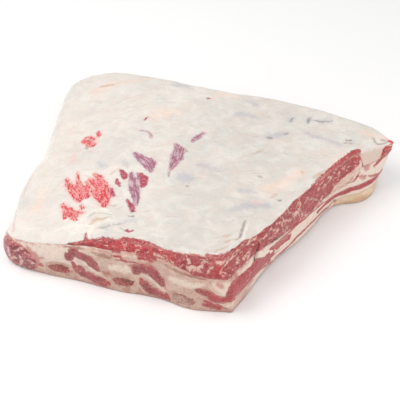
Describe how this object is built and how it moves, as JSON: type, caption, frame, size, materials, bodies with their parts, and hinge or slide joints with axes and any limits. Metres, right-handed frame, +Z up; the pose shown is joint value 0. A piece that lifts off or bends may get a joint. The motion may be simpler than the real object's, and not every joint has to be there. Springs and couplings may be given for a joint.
{
  "type": "raw beef short ribs",
  "caption": "Slab of raw beef short ribs: sawn rib bones with muscle between them, seam fat, a marbled upper muscle and a thick white fat cap.",
  "frame": {"origin": "middle of the bounding box, on the underside that the slab rests on", "axes": "+Y along the ribs away from the narrow front cut, +X across the ribs towards the long slanting side, +Z up through the fat cap"},
  "size_m": [0.3348, 0.2724, 0.0539],
  "materials": {
    "cap_fat": "raw fat, moist satin",
    "seam_fat": "raw fat and membrane, moist satin",
    "muscle": "raw marbled muscle, moist",
    "marbled_muscle": "raw marbled muscle, moist",
    "rib_muscle": "raw muscle, moist",
    "bone": "sawn raw bone, damp",
    "marrow": "red spongy bone, damp"
  },
  "bodies": {
    "root": {"fat_cap": "cap_fat", "seam_fat": "seam_fat", "upper_muscle": "muscle", "end_meat": "marbled_muscle", "intercostal_a_upper": "rib_muscle", "intercostal_a_lower": "rib_muscle", "intercostal_b_upper": "rib_muscle", "intercostal_b_lower": "rib_muscle", "intercostal_c_upper": "rib_muscle", "intercostal_c_lower": "rib_muscle", "intercostal_d": "rib_muscle", "rib_bone_1": "bone", "rib_bone_2": "bone", "rib_bone_3": "bone", "rib_bone_4": "bone", "rib_marrow_1": "marrow", "rib_marrow_2": "marrow", "rib_marrow_3": "marrow"}
  },
  "joints": []
}
